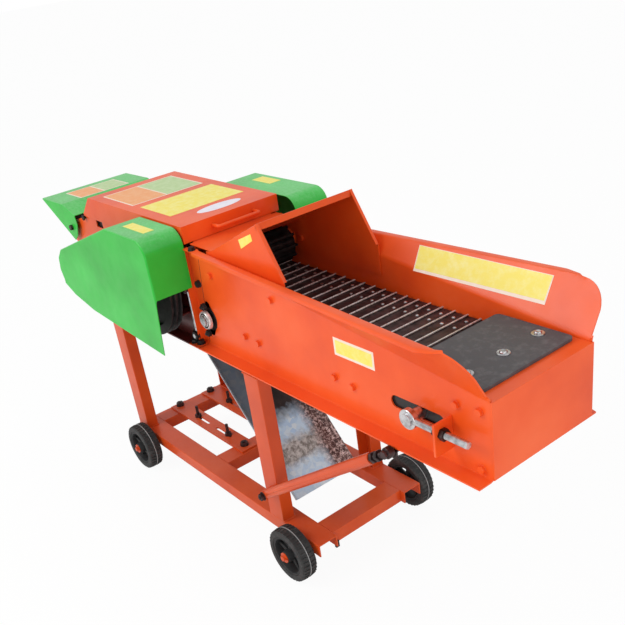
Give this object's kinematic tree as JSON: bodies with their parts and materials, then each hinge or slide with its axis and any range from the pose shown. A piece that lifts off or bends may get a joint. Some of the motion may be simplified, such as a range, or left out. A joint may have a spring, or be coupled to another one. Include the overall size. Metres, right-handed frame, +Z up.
{
  "type": "chaff cutter",
  "caption": "Wheeled chaff cutter: a slatted trough conveyor feeds crop past a roller and shear bar to a bladed rotor under a lid, with side guards, chute and discharge hood.",
  "frame": {"origin": "on the floor, under the middle of the whole machine", "axes": "+X towards the open end of the feed trough, +Y towards the gear guard side, +Z up"},
  "size_m": [1.947, 0.548, 0.964],
  "materials": {
    "orange_paint": "gloss",
    "green_paint": "gloss",
    "black_paint": "satin",
    "bare_steel": "satin",
    "galvanised_steel": "satin",
    "dark_steel": "satin",
    "dark_cast_iron": "matt",
    "tyre_rubber": "matt",
    "wheel_plastic": "matt",
    "rubber_sheet": "matt"
  },
  "bodies": {
    "frame": {"base_rails": "orange_paint", "cross_channels": "orange_paint", "rear_legs": "orange_paint", "front_legs": "orange_paint", "top_channels": "orange_paint", "axles": "orange_paint", "motor_bars": "orange_paint", "motor_bolts": "dark_steel", "trough_near": "orange_paint", "trough_far": "orange_paint", "slide_bed": "bare_steel", "end_deck": "orange_paint", "feed_hood": "orange_paint", "chamber_near": "orange_paint", "chamber_far": "orange_paint", "concave": "bare_steel", "chamber_front": "orange_paint", "shear_bar": "bare_steel", "hinge_pins": "bare_steel", "hood_pivots": "dark_steel", "belt_guard": "green_paint", "gear_guard": "green_paint", "chute": "galvanised_steel", "stay_tube": "orange_paint", "stay_screw": "bare_steel", "takeup_brackets": "orange_paint", "takeup_nuts": "bare_steel", "flange_bearings": "dark_cast_iron", "chains": "bare_steel", "slats": "dark_steel", "slat_rivets": "bare_steel", "rubber_pad": "rubber_sheet", "pad_bolts": "bare_steel", "drive_chain": "dark_steel", "press_rods": "bare_steel", "body_bolts": "orange_paint"},
    "near_front_wheel": {"tyre_nf": "tyre_rubber", "wheel_nf": "wheel_plastic"},
    "near_rear_wheel": {"tyre_nr": "tyre_rubber", "wheel_nr": "wheel_plastic"},
    "far_front_wheel": {"tyre_ff": "tyre_rubber", "wheel_ff": "wheel_plastic"},
    "far_rear_wheel": {"tyre_fr": "tyre_rubber", "wheel_fr": "wheel_plastic"},
    "lid_body": {"lid": "orange_paint", "lid_handle": "orange_paint"},
    "discharge_hood": {"rear_hood": "green_paint"},
    "rotor_body": {"rotor_shaft": "bare_steel", "rotor": "dark_cast_iron", "knives": "bare_steel", "main_pulley": "dark_cast_iron"},
    "counter_body": {"counter_gear": "bare_steel"},
    "conveyor_head": {"head_shaft": "bare_steel", "head_sprockets": "bare_steel"},
    "takeup_body": {"takeup_screws": "bare_steel"},
    "conveyor_tail": {"tail_shaft": "bare_steel", "tail_sprockets": "bare_steel"},
    "roller_arm_body": {"roller_arms": "orange_paint"},
    "roller_body": {"upper_roller": "dark_cast_iron"}
  },
  "joints": [
    {"name": "near_front_wheel_spin", "type": "hinge", "parent": "frame", "child": "near_front_wheel", "pos_m": [0.3195, -0.2195, 0.078], "axis": [0, 1, 0], "continuous": true},
    {"name": "near_rear_wheel_spin", "type": "hinge", "parent": "frame", "child": "near_rear_wheel", "pos_m": [-0.5075, -0.2195, 0.078], "axis": [0, 1, 0], "continuous": true},
    {"name": "far_front_wheel_spin", "type": "hinge", "parent": "frame", "child": "far_front_wheel", "pos_m": [0.3195, 0.2195, 0.078], "axis": [0, 1, 0], "continuous": true},
    {"name": "far_rear_wheel_spin", "type": "hinge", "parent": "frame", "child": "far_rear_wheel", "pos_m": [-0.5075, 0.2195, 0.078], "axis": [0, 1, 0], "continuous": true},
    {"name": "lid_hinge", "type": "hinge", "parent": "frame", "child": "lid_body", "pos_m": [-0.6665, 0, 0.833], "axis": [0, -1, 0], "range_deg": [0, 100]},
    {"name": "hood_tilt", "type": "hinge", "parent": "frame", "child": "discharge_hood", "pos_m": [-0.7665, 0, 0.787], "axis": [0, 1, 0], "range_deg": [-25, 8]},
    {"name": "rotor_spin", "type": "hinge", "parent": "frame", "child": "rotor_body", "pos_m": [-0.1925, 0, 0.736], "axis": [0, 1, 0], "continuous": true},
    {"name": "counter_spin", "type": "hinge", "parent": "frame", "child": "counter_body", "pos_m": [-0.07357, 0.19, 0.74015], "axis": [0, 1, 0], "continuous": true},
    {"name": "head_spin", "type": "hinge", "parent": "frame", "child": "conveyor_head", "pos_m": [0.0045, 0, 0.658], "axis": [0, 1, 0], "continuous": true},
    {"name": "takeup_slide", "type": "slide", "parent": "frame", "child": "takeup_body", "axis": [1, 0, 0], "range_m": [-0.06, 0]},
    {"name": "tail_spin", "type": "hinge", "parent": "takeup_body", "child": "conveyor_tail", "pos_m": [0.7855, 0, 0.658], "axis": [0, 1, 0], "continuous": true},
    {"name": "roller_lift", "type": "hinge", "parent": "frame", "child": "roller_arm_body", "pos_m": [-0.0355, 0, 0.833], "axis": [0, -1, 0], "range_deg": [0, 10]},
    {"name": "roller_spin", "type": "hinge", "parent": "roller_arm_body", "child": "roller_body", "pos_m": [0.0225, 0, 0.78985], "axis": [0, 1, 0], "continuous": true}
  ],
  "couplings": [
    {"joint": "counter_spin", "follows": "rotor_spin", "ratio": -0.33333},
    {"joint": "head_spin", "follows": "rotor_spin", "ratio": -0.33333},
    {"joint": "tail_spin", "follows": "rotor_spin", "ratio": -0.33333},
    {"joint": "roller_spin", "follows": "rotor_spin", "ratio": 0.4}
  ]
}
